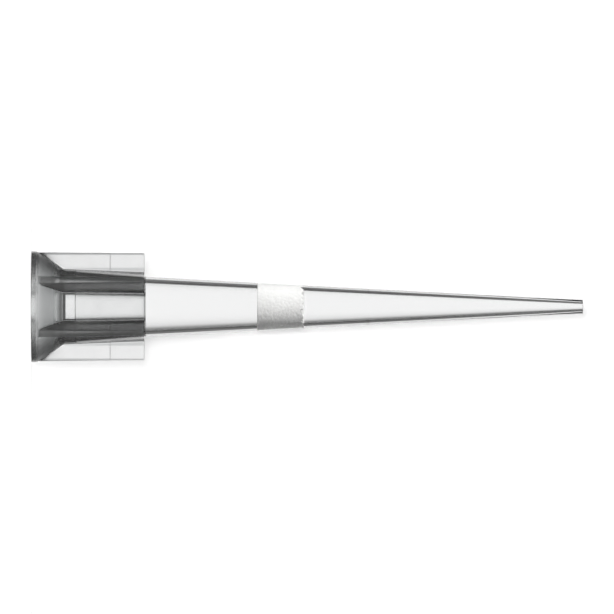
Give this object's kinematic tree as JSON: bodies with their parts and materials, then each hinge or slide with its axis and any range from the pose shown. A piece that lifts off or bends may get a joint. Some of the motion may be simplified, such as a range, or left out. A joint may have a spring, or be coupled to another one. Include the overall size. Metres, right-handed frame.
{
  "type": "pipette tip",
  "caption": "Slim clear tapered pipette tip with a ribbed collar, a flared mouth and a porous filter plug inside.",
  "frame": {"origin": "centre of the rim face at the wide mouth, which the tip stands on", "axes": "+Z along the tip's axis, from the mouth to the orifice; +X through the middle of one rib"},
  "size_m": [0.0078, 0.0078, 0.0386],
  "materials": {
    "clear_plastic": "clear moulded polypropylene, glossy, with a faint haze in the collar",
    "porous_plastic": "white sintered polyethylene, matt and grainy"
  },
  "bodies": {
    "root": {"tip_body": "clear_plastic", "filter_plug": "porous_plastic"}
  },
  "joints": []
}
